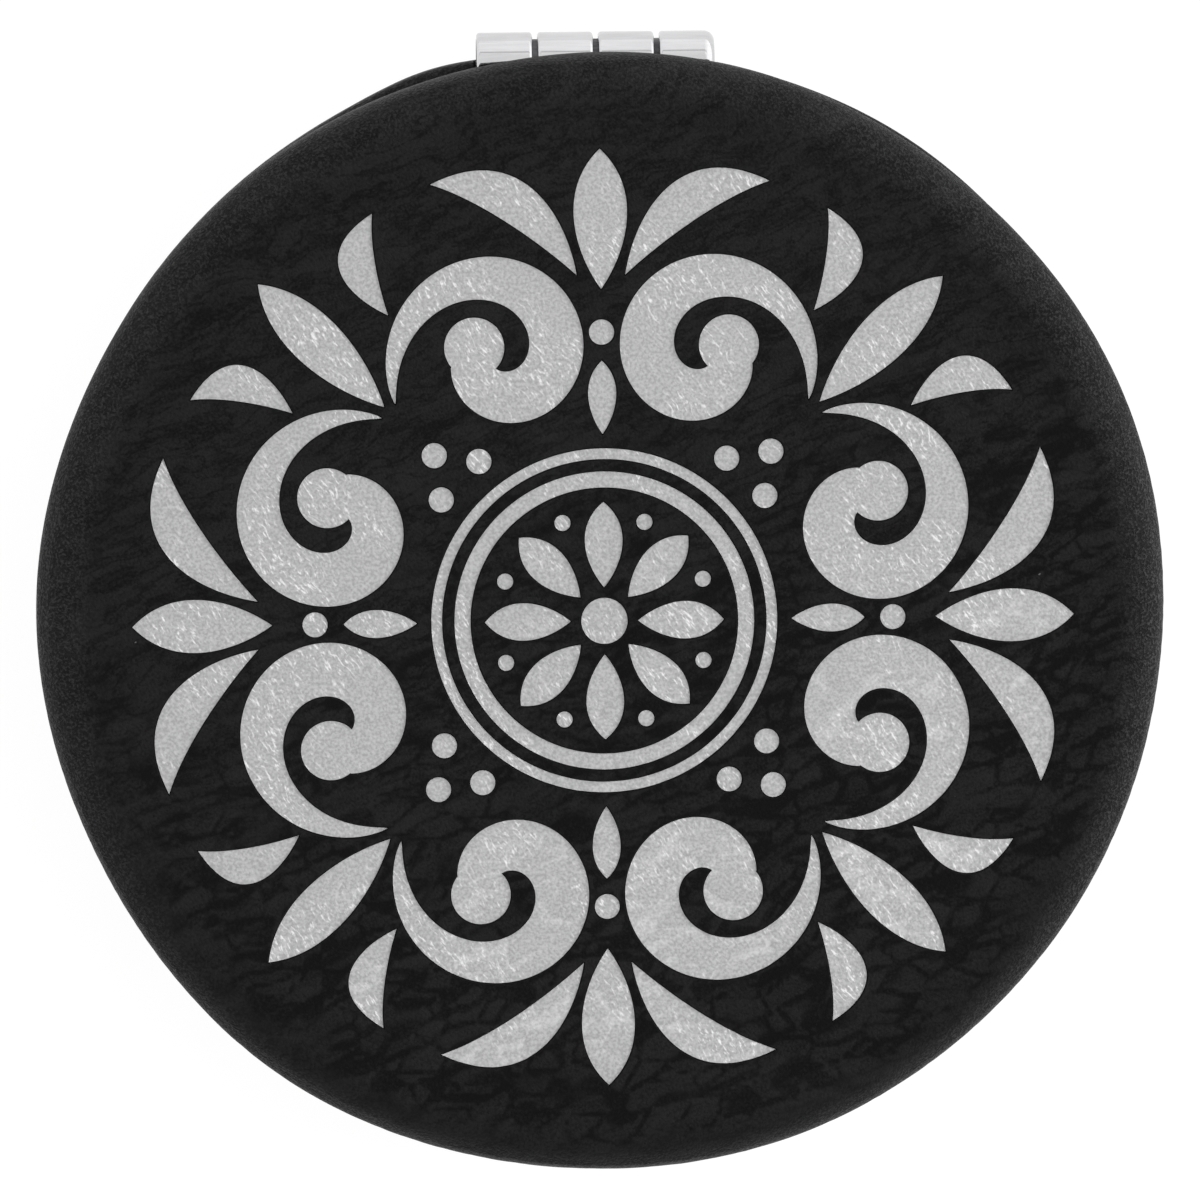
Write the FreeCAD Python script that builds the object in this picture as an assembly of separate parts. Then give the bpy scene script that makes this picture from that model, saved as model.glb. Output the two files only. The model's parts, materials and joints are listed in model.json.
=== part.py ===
import FreeCAD, Part
import math
import os

from FreeCAD import Vector

# A round compact mirror: two leatherette-covered halves, each with a mirror inside, on a barrel hinge.
# Millimetres, +Z up. The compact lies closed on its base. The origin is the centre of the base's flat
# underside and the hinge is at the back, on +Y.
# Both halves are the same assembly. Each piece is drawn in the frame of a half, where z = 0 is the plane
# between the closed halves and +z points out of the case. The lid is that frame lifted to the parting
# height. The base is the same frame, also turned half a turn about Y.

# Case
case_diameter = 63.5
parting_gap = 0.2

# Leatherette cover, wrapped round the shell and folded in over its rim
leather = 0.8
turn_in = 0.5
turn_in_gap = 0.2
shoulder_radius = 2.4
rim_radius = 0.9
fold_radius = 0.4

# Foam pad under the cover, in a recess of the shell
foam = 0.8
foam_gap = 0.1

# Moulded shell
shell_wall = 1.0
shell_top = 1.0

# Mirror, its glue pad and the bezel ring that frames it
mirror_thickness = 1.2
mirror_fit = 0.1
mirror_bevel = 0.2
magnifier_radius = 900.0
glue = 0.3
glue_margin = 0.8
bezel_width = 2.3
bezel_fit = 0.05
bezel_recess = 0.1
bezel_round = 0.3
lip_thickness = 0.3
lip_overlap = 0.5
lip_edge = 0.1
lip_slope = 0.3

# Closing magnet, in a pocket at the front of the bezel
magnet_length = 6.0
magnet_wall = 0.5
magnet_cover = 0.6
magnet_fit = 0.05

# Barrel hinge
barrel_diameter = 3.2
barrel_overhang = 1.05
barrel_clearance = 0.25
knuckle_count = 4
knuckle_length = 3.14
knuckle_gap = 0.28
knuckle_round = 0.2
lid_end_round = 0.2
base_end_round = 0.6
leaf_thickness = 0.6
leaf_length = 6.6
leaf_corner = 1.0
leaf_clearance = 0.1
web_inset = 0.12
slot_clearance = 0.3
pin_diameter = 2.4
pin_clearance = 0.03
pin_recess = 0.15
pin_chamfer = 0.2

# Flush rivets that hold a hinge leaf to its shell
rivet_diameter = 1.3
rivet_head_diameter = 2.2
rivet_head_depth = 0.3
rivet_spacing = 7.6
rivet_setback = 2.6

# Engraved ornament: the black coat is burnt away and the silver core below it shows
ornament_margin = 2.35
black_coat = 0.12
silver_core = 0.12

# Places and sizes in the ornament, as shares of its radius
ring_shares = ((0.278, 0.311), (0.337, 0.359))
rosette_eye_share = 0.048
petal_shares = (0.070, 0.248)
petal_dot_share = 0.222
petal_dot_radius_share = 0.0167
scroll_centre_shares = (0.211, 0.552)
scroll_radius_shares = (0.237, 0.0556)
scroll_width_share = 0.058
scroll_ball_share = 0.062
wing_shares = ((0.050, 0.718), (0.350, 0.908))
lobe_shares = ((0.440, 0.640), (0.470, 0.850))
crown_shares = (0.689, 0.978)
bead_share = 0.600
bead_radius_share = 0.026
spear_shares = (0.389, 0.541)
corner_spear_shares = (0.637, 1.0)
corner_dot_shares = ((0.0, 0.493), (-0.0556, 0.4185), (0.0556, 0.4185))
corner_dot_radius_share = 0.026

# Fullness of each kind of leaf on its left and right side, as shares of its length
petal_fullness_shares = (0.23, 0.23)
wing_fullness_shares = (0.31, -0.05)
lobe_fullness_shares = (-0.05, 0.42)
crown_fullness_shares = (0.20, 0.20)
corner_fullness_shares = (0.15, 0.15)

# How a leaf's edge is drawn: how far along it swells, and how much there, beside its fullness
leaf_place_shares = (0.25, 0.70)
leaf_swell_shares = (0.9, 1.6)

# How a scroll winds, in degrees, and how its width swells and thins along it
scroll_start = -24.0
scroll_turn = 404.0
scroll_points = 24
swell_share = 0.80
swell_power = 0.75

# Repeats of the ornament round the lid
sector_count = 4
petal_count = 8

# How far a cutting shape runs past what it cuts, and the shortest edge that is drawn
overrun = 1.0
shortest_edge = 1e-6

# Heights in the frame of a half, from the parting plane outwards
rim_height = parting_gap / 2
lip_front = rim_height + bezel_recess
mirror_front = lip_front + lip_thickness
mirror_back = mirror_front + mirror_thickness
tray_front = mirror_back + glue
tray_thickness = leaf_thickness + leaf_clearance
ceiling = tray_front + tray_thickness
shell_outside = ceiling + shell_top
foam_outside = shell_outside + foam
half_height = foam_outside + leather
shell_rim = rim_height + leather
turn_in_end = ceiling - turn_in_gap
parting_height = half_height

# Radii, from the outside inwards
case_radius = case_diameter / 2
flat_radius = case_radius - shoulder_radius
shell_radius = case_radius - leather
wall_radius = shell_radius - shell_wall
cavity_radius = wall_radius - turn_in
bezel_radius = cavity_radius - bezel_fit
mirror_bore = bezel_radius - bezel_width
mirror_radius = mirror_bore - mirror_fit
lip_radius = mirror_radius - lip_overlap

# Hinge
barrel_radius = barrel_diameter / 2
barrel_length = knuckle_count * knuckle_length + (knuckle_count - 1) * knuckle_gap
axis_y = case_radius + barrel_overhang - barrel_radius
web_inner = axis_y - barrel_radius + web_inset
web_outer = web_inner + leaf_thickness
leaf_inner = web_inner - leaf_length
leaf_under = ceiling - leaf_thickness
slot_width = barrel_length + 2 * slot_clearance
slot_inner = web_inner - slot_clearance
pin_radius = pin_diameter / 2

# Engraving
ornament_radius = flat_radius - ornament_margin
pocket_floor = half_height - black_coat - silver_core


def rounded_face(corners, place):
    """A flat face from corners (a, b, radius): straight runs joined by tangent arcs of those radii."""
    points = [place(a, b) for a, b, _ in corners]
    ends = []
    for i, (_, _, radius) in enumerate(corners):
        corner = points[i]
        if radius == 0:
            ends.append((corner, corner, corner))
            continue
        back = (points[i - 1] - corner).normalize()
        ahead = (points[(i + 1) % len(points)] - corner).normalize()
        half_angle = back.getAngle(ahead) / 2
        reach = radius / math.tan(half_angle)
        inward = (back + ahead).normalize()
        centre = corner + inward * (radius / math.sin(half_angle))
        ends.append((corner + back * reach, centre - inward * radius, corner + ahead * reach))
    edges = []
    for i, (start, middle, end) in enumerate(ends):
        if (end - start).Length > shortest_edge:
            edges.append(Part.Arc(start, middle, end).toShape())
        following = ends[(i + 1) % len(ends)][0]
        if (following - end).Length > shortest_edge:
            edges.append(Part.LineSegment(end, following).toShape())
    return Part.Face(Part.Wire(edges))


def profile_point(radius, height):
    return Vector(radius, 0, height)


def plan_point(x, y):
    return Vector(x, y, 0)


def turned(corners):
    """A solid turned about Z from the corners (radius, height, rounding) of its section."""
    return rounded_face(corners, profile_point).revolve(Vector(), Vector(0, 0, 1), 360)


def disc(radius, low, high):
    return turned([(0, low, 0), (radius, low, 0), (radius, high, 0), (0, high, 0)])


def block(width, y_low, y_high, z_low, z_high):
    """A box centred on x = 0."""
    corner = Vector(-width / 2, y_low, z_low)
    return Part.makeBox(width, y_high - y_low, z_high - z_low, corner)


def along_hinge(shape, x):
    """Lays a shape that was turned about Z along the hinge axis, with its foot at x."""
    laid = shape.copy()
    laid.rotate(Vector(), Vector(0, 1, 0), 90)
    laid.translate(Vector(x, axis_y, 0))
    return laid


def knuckle_start(index):
    return -barrel_length / 2 + index * (knuckle_length + knuckle_gap)


# Room that the hinge needs


def barrel_room():
    """The space round the barrel that both halves leave free."""
    room = Part.makeCylinder(barrel_radius + barrel_clearance, slot_width)
    return along_hinge(room, -slot_width / 2)


def wall_slot():
    """The gap in the shell's wall that the hinge leaf passes through."""
    return block(slot_width, leaf_inner, case_radius + overrun, -overrun, ceiling)


def skin_slot():
    """The same gap in the cover: its turned-in edge, and what the leaf's web needs of its outer skin."""
    inside_skin = Part.makeCylinder(shell_radius, ceiling + overrun, Vector(0, 0, -overrun))
    web_room = block(slot_width, slot_inner, web_outer + slot_clearance, -overrun, ceiling)
    return wall_slot().common(inside_skin).fuse(web_room)


def bezel_slot():
    """The flat on the bezel's back, just clear of the leaf's web and the barrel."""
    return block(slot_width, slot_inner, case_radius + overrun, -overrun, ceiling)


# Pieces of a half


def cover():
    skin = turned(
        [
            (0, half_height, 0),
            (case_radius, half_height, shoulder_radius),
            (case_radius, rim_height, rim_radius),
            (cavity_radius, rim_height, fold_radius),
            (cavity_radius, turn_in_end, 0),
            (wall_radius, turn_in_end, 0),
            (wall_radius, shell_rim, 0),
            (shell_radius, shell_rim, 0),
            (shell_radius, foam_outside, shoulder_radius - leather),
            (0, foam_outside, 0),
        ]
    )
    return skin.cut([skin_slot(), barrel_room()])


def foam_pad():
    return disc(flat_radius - foam_gap, shell_outside, foam_outside)


def shell():
    body = turned(
        [
            (0, ceiling, 0),
            (wall_radius, ceiling, 0),
            (wall_radius, shell_rim, 0),
            (shell_radius, shell_rim, 0),
            (shell_radius, foam_outside, shoulder_radius - leather),
            (flat_radius, foam_outside, 0),
            (flat_radius, shell_outside, 0),
            (0, shell_outside, 0),
        ]
    )
    return body.cut([wall_slot(), barrel_room(), *rivets()])


def mirror_tray():
    board = disc(bezel_radius, tray_front, ceiling)
    pocket = block(
        barrel_length + 2 * leaf_clearance,
        leaf_inner - leaf_clearance,
        case_radius + overrun,
        tray_front - overrun,
        ceiling + overrun,
    )
    return board.cut(pocket)


def mirror_glue():
    return disc(mirror_radius - glue_margin, mirror_back, tray_front)


def plain_mirror():
    return turned(
        [
            (0, mirror_front, 0),
            (mirror_radius - mirror_bevel, mirror_front, 0),
            (mirror_radius, mirror_front + mirror_bevel, 0),
            (mirror_radius, mirror_back, 0),
            (0, mirror_back, 0),
        ]
    )


def magnifying_mirror():
    """A mirror whose face is hollowed to a sphere as far as its bevel."""
    face_radius = mirror_radius - mirror_bevel
    sphere_height = mirror_front - math.sqrt(magnifier_radius**2 - face_radius**2)
    return plain_mirror().cut(Part.makeSphere(magnifier_radius, Vector(0, 0, sphere_height)))


def magnet_block(spare):
    """The closing magnet, or with a spare fit all round the pocket for it."""
    width = bezel_width - 2 * magnet_wall
    middle = -(mirror_bore + bezel_width / 2)
    return block(
        magnet_length + 2 * spare,
        middle - width / 2 - spare,
        middle + width / 2 + spare,
        lip_front + magnet_cover - spare,
        tray_front,
    )


def bezel():
    ring = turned(
        [
            (lip_radius, mirror_front, 0),
            (lip_radius, mirror_front - lip_edge, 0),
            (lip_radius + lip_slope, lip_front, 0),
            (bezel_radius, lip_front, bezel_round),
            (bezel_radius, tray_front, 0),
            (mirror_bore, tray_front, 0),
            (mirror_bore, mirror_front, 0),
        ]
    )
    return ring.cut([bezel_slot(), magnet_block(magnet_fit)])


def rivets():
    """Two rivets with sunk heads, one head flush with the leaf and one with the shell's outside."""
    head_radius = rivet_head_diameter / 2
    radius = rivet_diameter / 2
    rivet = turned(
        [
            (0, leaf_under, 0),
            (head_radius, leaf_under, 0),
            (radius, leaf_under + rivet_head_depth, 0),
            (radius, shell_outside - rivet_head_depth, 0),
            (head_radius, shell_outside, 0),
            (0, shell_outside, 0),
        ]
    )
    placed = []
    for side in (-1, 1):
        copy = rivet.copy()
        copy.translate(Vector(side * rivet_spacing / 2, leaf_inner + rivet_setback, 0))
        placed.append(copy)
    return placed


def knuckle(index, end_round):
    """One rolled knuckle and the web that carries it, with its own rounding at the barrel's end."""
    left_round = end_round if index == 0 else knuckle_round
    right_round = end_round if index == knuckle_count - 1 else knuckle_round
    roll = turned(
        [
            (0, 0, 0),
            (barrel_radius, 0, left_round),
            (barrel_radius, knuckle_length, right_round),
            (0, knuckle_length, 0),
        ]
    )
    start = knuckle_start(index)
    web = Part.makeBox(
        knuckle_length - left_round - right_round,
        web_outer - web_inner,
        ceiling,
        Vector(start + left_round, web_inner, 0),
    )
    return along_hinge(roll, start).fuse(web)


def hinge_leaf(bore_radius, end_round):
    half_width = barrel_length / 2
    outline = [
        (-half_width, web_outer, 0),
        (-half_width, leaf_inner, leaf_corner),
        (half_width, leaf_inner, leaf_corner),
        (half_width, web_outer, 0),
    ]
    plate = rounded_face(outline, plan_point).extrude(Vector(0, 0, leaf_thickness))
    plate.translate(Vector(0, 0, leaf_under))
    own_knuckles = [knuckle(index, end_round) for index in range(0, knuckle_count, 2)]
    leaf = plate.fuse(own_knuckles).removeSplitter()
    bore_reach = half_width + overrun
    bore = along_hinge(Part.makeCylinder(bore_radius, 2 * bore_reach), -bore_reach)
    return leaf.cut([bore, *rivets()])


def hinge_pin():
    length = barrel_length - 2 * pin_recess
    pin = turned(
        [
            (0, 0, 0),
            (pin_radius - pin_chamfer, 0, 0),
            (pin_radius, pin_chamfer, 0),
            (pin_radius, length - pin_chamfer, 0),
            (pin_radius - pin_chamfer, length, 0),
            (0, length, 0),
        ]
    )
    return along_hinge(pin, -length / 2)


# Ornament motifs, as flat faces on the plane z = 0


def ornament_point(shares):
    x_share, y_share = shares
    return Vector(x_share * ornament_radius, y_share * ornament_radius, 0)


def dot(shares, radius_share):
    circle = Part.Circle(ornament_point(shares), Vector(0, 0, 1), radius_share * ornament_radius)
    return Part.Face(Part.Wire(circle.toShape()))


def ring(inner_share, outer_share):
    return dot((0, 0), outer_share).cut(dot((0, 0), inner_share))


def leaf_edge(root, tip, fullness):
    """One side of a leaf, swelling to the left of the way from root to tip."""
    along = tip - root
    left = Vector(-along.y, along.x, 0)
    poles = [root]
    for place, swell in zip(leaf_place_shares, leaf_swell_shares):
        poles.append(root + along * place + left * (swell * fullness))
    poles.append(tip)
    curve = Part.BezierCurve()
    curve.setPoles(poles)
    return curve.toShape()


def leaf_motif(root_shares, tip_shares, fullness_shares):
    root = ornament_point(root_shares)
    tip = ornament_point(tip_shares)
    left_fullness, right_fullness = fullness_shares
    sides = [leaf_edge(root, tip, left_fullness), leaf_edge(root, tip, -right_fullness)]
    return Part.Face(Part.Wire(Part.sortEdges(sides)[0]))


def straight_leaf(shares, fullness_shares):
    root_share, tip_share = shares
    return leaf_motif((0, root_share), (0, tip_share), fullness_shares)


def scroll_motif():
    """A spiral that starts in a point, swells, and winds in to a ball."""
    centre = ornament_point(scroll_centre_shares)
    wide_share, tight_share = scroll_radius_shares
    outer = []
    inner = []
    for i in range(scroll_points + 1):
        share = i / scroll_points
        radius = wide_share * (tight_share / wide_share) ** share
        half_width = scroll_width_share * math.sin(math.pi * swell_share * share**swell_power)
        angle = math.radians(scroll_start + scroll_turn * share)
        heading = Vector(math.cos(angle), math.sin(angle), 0)
        outer.append(centre + heading * ((radius + half_width) * ornament_radius))
        inner.append(centre + heading * ((radius - half_width) * ornament_radius))
    sides = []
    for points in (outer, inner):
        curve = Part.BSplineCurve()
        curve.interpolate(points)
        sides.append(curve.toShape())
    end = Part.LineSegment(outer[-1], inner[-1]).toShape()
    stroke = Part.Face(Part.Wire([sides[0], end, sides[1]]))
    ball_centre = (outer[-1] + inner[-1]) / 2
    ball_circle = Part.Circle(ball_centre, Vector(0, 0, 1), scroll_ball_share * ornament_radius)
    ball = Part.Face(Part.Wire(ball_circle.toShape()))
    return stroke.fuse(ball).removeSplitter()


def round_lid(motif, count, first_turn):
    """Copies of a motif, evenly spaced round the lid."""
    copies = []
    for i in range(count):
        copy = motif.copy()
        copy.rotate(Vector(), Vector(0, 0, 1), first_turn + i * 360 / count)
        copies.append(copy)
    return copies


def both_sides(motif):
    """A motif and its mirror image across the sector's middle."""
    return [motif, motif.mirror(Vector(), Vector(1, 0, 0))]


def ornament_faces():
    """A generic medallion: a rosette in two rings, then scrolls, leaves and dots in equal sectors."""
    sector = [
        *both_sides(scroll_motif()),
        *both_sides(leaf_motif(*wing_shares, wing_fullness_shares)),
        *both_sides(leaf_motif(*lobe_shares, lobe_fullness_shares)),
        straight_leaf(crown_shares, crown_fullness_shares),
        dot((0, bead_share), bead_radius_share),
        straight_leaf(spear_shares, crown_fullness_shares),
    ]
    corner = [dot(place, corner_dot_radius_share) for place in corner_dot_shares]
    corner.append(straight_leaf(corner_spear_shares, corner_fullness_shares))
    petal = straight_leaf(petal_shares, petal_fullness_shares)
    petal_dot = dot((0, petal_dot_share), petal_dot_radius_share)
    half_sector = 180 / sector_count
    half_petal = 180 / petal_count

    faces = [ring(*shares) for shares in ring_shares]
    faces.append(dot((0, 0), rosette_eye_share))
    faces.extend(round_lid(petal, petal_count, 0))
    faces.extend(round_lid(petal_dot, petal_count, half_petal))
    for motif in sector:
        faces.extend(round_lid(motif, sector_count, 0))
    for motif in corner:
        faces.extend(round_lid(motif, sector_count, half_sector))
    return faces


def raised(faces, low, high):
    """Solids that stand on the faces, from one height to another."""
    solids = []
    for face in faces:
        solid = face.extrude(Vector(0, 0, high - low))
        solid.translate(Vector(0, 0, low))
        solids.extend(solid.Solids)
    return solids


# Assembly


def as_lid(shape):
    placed = shape.copy()
    placed.translate(Vector(0, 0, parting_height))
    return placed


def as_base(shape):
    placed = shape.copy()
    placed.rotate(Vector(), Vector(0, 1, 0), 180)
    placed.translate(Vector(0, 0, parting_height))
    return placed


def half_pieces():
    """The pieces that the lid and the base have alike."""
    return {
        "foam_pad": foam_pad(),
        "shell": shell(),
        "mirror_tray": mirror_tray(),
        "mirror_glue": mirror_glue(),
        "bezel": bezel(),
        "magnet": magnet_block(0),
        "hinge_rivets": Part.makeCompound(rivets()),
    }


def assembly():
    faces = ornament_faces()
    pockets = raised(faces, pocket_floor, half_height + overrun)
    inlay = raised(faces, pocket_floor, pocket_floor + silver_core)
    pieces = {
        "lid_cover": as_lid(cover().cut(pockets)),
        "lid_engraved_ornament": as_lid(Part.makeCompound(inlay)),
        "lid_mirror": as_lid(plain_mirror()),
        "lid_hinge_leaf": as_lid(hinge_leaf(pin_radius + pin_clearance, lid_end_round)),
        "base_cover": as_base(cover()),
        "base_mirror": as_base(magnifying_mirror()),
        "base_hinge_leaf": as_base(hinge_leaf(pin_radius, base_end_round)),
        "hinge_pin": as_base(hinge_pin()),
    }
    for name, shape in half_pieces().items():
        pieces["lid_" + name] = as_lid(shape)
        pieces["base_" + name] = as_base(shape)
    return pieces


os.makedirs("parts", exist_ok=True)
for name, shape in assembly().items():
    shape.exportStep(f"parts/{name}.step")
    print(f"{name}: {len(shape.Solids)} solid(s), {shape.Volume:.2f} mm3, valid {shape.isValid()}")
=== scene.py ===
import json
import math

import bmesh
import bpy
from mathutils import Matrix, Vector, noise
from mathutils.geometry import delaunay_2d_cdt
from mathutils.kdtree import KDTree


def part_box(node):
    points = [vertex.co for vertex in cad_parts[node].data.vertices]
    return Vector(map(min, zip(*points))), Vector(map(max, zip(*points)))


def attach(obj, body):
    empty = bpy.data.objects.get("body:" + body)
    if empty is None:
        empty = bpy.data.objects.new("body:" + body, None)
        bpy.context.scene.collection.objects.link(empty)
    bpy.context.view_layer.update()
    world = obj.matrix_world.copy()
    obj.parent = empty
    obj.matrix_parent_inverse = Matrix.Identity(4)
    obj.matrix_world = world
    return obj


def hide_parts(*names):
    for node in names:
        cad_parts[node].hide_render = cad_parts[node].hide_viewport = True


# A closed round compact mirror in black leatherette, with a silver medallion engraved in its lid.
# Lengths are in millimetres, and become metres where a mesh, lamp or camera is made.
# A half of the case is drawn in its own frame: z = 0 between the halves, +z outwards, +y at the hinge.

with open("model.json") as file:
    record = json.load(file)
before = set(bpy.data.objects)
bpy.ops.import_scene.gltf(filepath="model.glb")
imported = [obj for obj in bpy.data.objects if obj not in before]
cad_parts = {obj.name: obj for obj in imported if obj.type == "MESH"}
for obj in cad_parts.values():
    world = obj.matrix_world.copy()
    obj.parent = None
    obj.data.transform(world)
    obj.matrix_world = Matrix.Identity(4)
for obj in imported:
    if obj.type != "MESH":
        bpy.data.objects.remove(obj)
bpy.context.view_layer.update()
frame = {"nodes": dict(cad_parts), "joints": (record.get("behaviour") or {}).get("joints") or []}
MM = 0.001


def span(node):
    """The lowest and highest corner of a CAD node, in millimetres."""
    low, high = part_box(node)
    return low / MM, high / MM


# Sizes read from the frame
lid_low, lid_high = span("lid_cover")
_, base_high = span("base_cover")
shell_low, shell_high = span("lid_shell")
foam_low, foam_high = span("lid_foam_pad")
leaf_low, leaf_high = span("lid_hinge_leaf")
hinge_axis = Vector(frame["joints"][0]["pos_m"]) / MM
parting_height = (lid_low.z + base_high.z) / 2
half_height = lid_high.z - parting_height
rim_height = lid_low.z - parting_height
shell_rim = shell_low.z - parting_height
shell_outside = foam_low.z - parting_height
foam_outside = foam_high.z - parting_height
ceiling = leaf_high.z - parting_height
case_radius = lid_high.x
shell_radius = shell_high.x
foam_radius = foam_high.x
skin_thickness = half_height - foam_outside
barrel_radius = leaf_high.y - hinge_axis.y
barrel_length = leaf_high.x - leaf_low.x

# Sizes of the cover and foam that the frame's boxes don't give
shoulder_radius = 2.4
rim_radius = 0.9
fold_radius = 0.4
turn_in = 0.5
turn_in_gap = 0.2
shell_wall = 1.0
barrel_clearance = 0.25
slot_clearance = 0.3
end_clearance = 0.12
leaf_thickness = 0.6
web_inset = 0.12
skin_margin = 0.05
overrun = 1.0
foam_gap = 0.01
foam_round_share = 1 / 3
foam_crown_shares = (0.5, 0.0)
flat_radius = case_radius - shoulder_radius
wall_radius = shell_radius - shell_wall
cavity_radius = wall_radius - turn_in
turn_in_end = ceiling - turn_in_gap
web_outer = hinge_axis.y - barrel_radius + web_inset + leaf_thickness
slot_half = barrel_length / 2 + end_clearance

# How finely the pieces are meshed
rim_segments = 480
shoulder_steps = 14
rim_steps = 8
fold_steps = 5
wall_steps = 4
foam_segments = 96
skin_pitch = 0.27
outline_pitch = 0.13
outline_room = 0.18
outline_tolerance = 1e-6
least_circle_points = 16
leaf_points = 28
scroll_points = 200
weld_distance = 0.001
top_tolerance = 0.005
sharp_angle = 35.0

# The engraving: the black coat is burnt away down to a silver core
ornament_margin = 2.35
ornament_radius = flat_radius - ornament_margin
black_coat = 0.12
silver_core = 0.12
burn_slope = 0.09
pocket_floor = half_height - black_coat - silver_core

# Places and sizes in the ornament, as shares of its radius
ring_shares = ((0.278, 0.311), (0.337, 0.359))
rosette_eye_share = 0.048
petal_shares = (0.070, 0.248)
petal_dot_share = 0.222
petal_dot_radius_share = 0.0167
scroll_centre_shares = (0.211, 0.552)
scroll_radius_shares = (0.237, 0.0556)
scroll_width_share = 0.058
scroll_ball_share = 0.062
wing_shares = ((0.050, 0.718), (0.350, 0.908))
lobe_shares = ((0.440, 0.640), (0.470, 0.850))
crown_shares = (0.689, 0.978)
bead_share = 0.600
bead_radius_share = 0.026
spear_shares = (0.389, 0.541)
corner_spear_shares = (0.637, 1.0)
corner_dot_shares = ((0.0, 0.493), (-0.0556, 0.4185), (0.0556, 0.4185))
corner_dot_radius_share = 0.026

# How full the leaves are on their left and right, as shares of their length, and how the scrolls wind
petal_fullness_shares = (0.23, 0.23)
wing_fullness_shares = (0.31, -0.05)
lobe_fullness_shares = (-0.05, 0.42)
crown_fullness_shares = (0.20, 0.20)
corner_fullness_shares = (0.15, 0.15)
leaf_place_shares = (0.25, 0.70)
leaf_swell_shares = (0.9, 1.6)
scroll_start = -24.0
scroll_turn = 404.0
swell_share = 0.80
swell_power = 0.75
sector_count = 4
petal_count = 8

# How the wrapped skin departs from a true round: waves round the rim as count, height and crest angle
outline_waves = ((2, 0.054, 29), (3, 0.037, 30), (5, 0.058, 20), (6, 0.041, 2), (7, 0.063, -26))
base_bulge = 0.33
base_bulge_angle = 107.0
base_bulge_width = 7.0
lid_crown = 0.14
swell_length = 7.0
swell_depth = 0.03

# Creases in the skin: long cells with gaps between them, gathered towards the front right
crease_cell = 1.1
crease_stretch = 2.2
crease_angle = 20.0
crease_depth = 0.05
crease_width = 0.42
cross_crease_width = 0.20
crease_break = 3.0
crease_break_range = (-0.8, 0.0)
crease_heading = Vector((0.4, -1.0))
crease_gather_range = (-0.7, 0.6)
least_crease_share = 0.15
warp_length = 3.0
warp_reach = 0.6
crease_seeds = {"lid": Vector((0, 0, 0)), "base": Vector((40, -40, 40))}
warp_seeds = (Vector((0.3, 0.6, 0.2)), Vector((21.7, 8.4, 3.5)), Vector((7.2, 33.1, 12.8)))

# The lighter edge, partly wear and partly painted highlight: how far out from the flat top it starts and
# ends, and how strong it is
edge_start = -0.9
front_edge_start = 1.0
edge_end = 2.2
side_wear_and_highlight = 1.15
end_wear_and_highlight = 0.3

# How much the creases fade at the edge, and how far to each side of the flat top's rim
edge_calm = 0.6
calm_reach = 0.8

# Colours of the skin and its engraving
leather_black = (0.0060, 0.0060, 0.0062)
# The darkest skin colour, reached at random and as painted shade in the creases
leather_dark_and_crease_shade = (0.0012, 0.0012, 0.0012)
leather_face = (0.0118, 0.0118, 0.0121)
# Lighter colour at the edge: partly wear, partly painted highlight
leather_wear_and_highlight = (0.041, 0.041, 0.041)
leather_lint = (0.10, 0.10, 0.10)
# Colours of the burnt slopes: partly scorch, partly painted shade of the step
scorch_and_shade_dark = (0.0012, 0.0012, 0.0012)
scorch_and_shade_light = (0.0030, 0.0029, 0.0028)
silver_mean = (0.45, 0.45, 0.45)
silver_dull = (0.33, 0.33, 0.333)
silver_glint = (0.76, 0.76, 0.76)

# Places along y between which the skin's fine cracks grow stronger
crack_front = -22.0
crack_back = 2.0

# Camera, as fitted to the photograph's outline
photo_side = 1200
camera_spot = Vector((-13.05, 40.03, 360.6))
camera_aim = Vector((-0.239, 1.179, 10.6))
camera_roll = -0.583
camera_focal_pixels = 6292
sensor_width = 36.0
nearest_view = 10.0
farthest_view = 20000.0

# Floor and lamps
floor_side = 6000.0
floor_matte = (0.8, 0.8, 0.8, 1)
floor_shade = (0.10, 0.10, 0.10, 1)
floor_glow = 0.945
overhead_spot = (-120, -160, 700)
overhead_side = 500
right_spot = (575, 60, 300)
right_side = 260


# Ornament outlines, as closed loops of points in the lid's plane, anticlockwise


def ornament_point(shares):
    return Vector((shares[0] * ornament_radius, shares[1] * ornament_radius))


def evenly(points):
    """A closed loop drawn again with points about one outline pitch apart, corners kept."""
    loop = []
    for i, point in enumerate(points):
        following = points[(i + 1) % len(points)]
        steps = max(1, round((following - point).length / outline_pitch))
        loop.extend(point.lerp(following, step / steps) for step in range(steps))
    return loop


def circle_loop(centre, radius):
    count = max(least_circle_points, round(2 * math.pi * radius / outline_pitch))
    turns = (2 * math.pi * i / count for i in range(count))
    return [centre + Vector((math.cos(turn), math.sin(turn))) * radius for turn in turns]


def dot_loop(shares, radius_share):
    return circle_loop(ornament_point(shares), radius_share * ornament_radius)


def leaf_edge(root, tip, fullness):
    """Points along one side of a leaf, swelling to the left of the way from root to tip."""
    along = tip - root
    left = Vector((-along.y, along.x))
    poles = [root]
    for place, swell in zip(leaf_place_shares, leaf_swell_shares):
        poles.append(root + along * place + left * (swell * fullness))
    poles.append(tip)
    edge = []
    for i in range(leaf_points + 1):
        t = i / leaf_points
        weights = ((1 - t) ** 3, 3 * t * (1 - t) ** 2, 3 * t * t * (1 - t), t**3)
        edge.append(sum((pole * weight for pole, weight in zip(poles, weights)), Vector((0, 0))))
    return edge


def leaf_loop(root_shares, tip_shares, fullness_shares):
    root = ornament_point(root_shares)
    tip = ornament_point(tip_shares)
    right = leaf_edge(root, tip, -fullness_shares[1])
    left = leaf_edge(root, tip, fullness_shares[0])
    return evenly(right[:-1] + left[:0:-1])


def straight_leaf(shares, fullness_shares):
    return leaf_loop((0, shares[0]), (0, shares[1]), fullness_shares)


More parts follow.
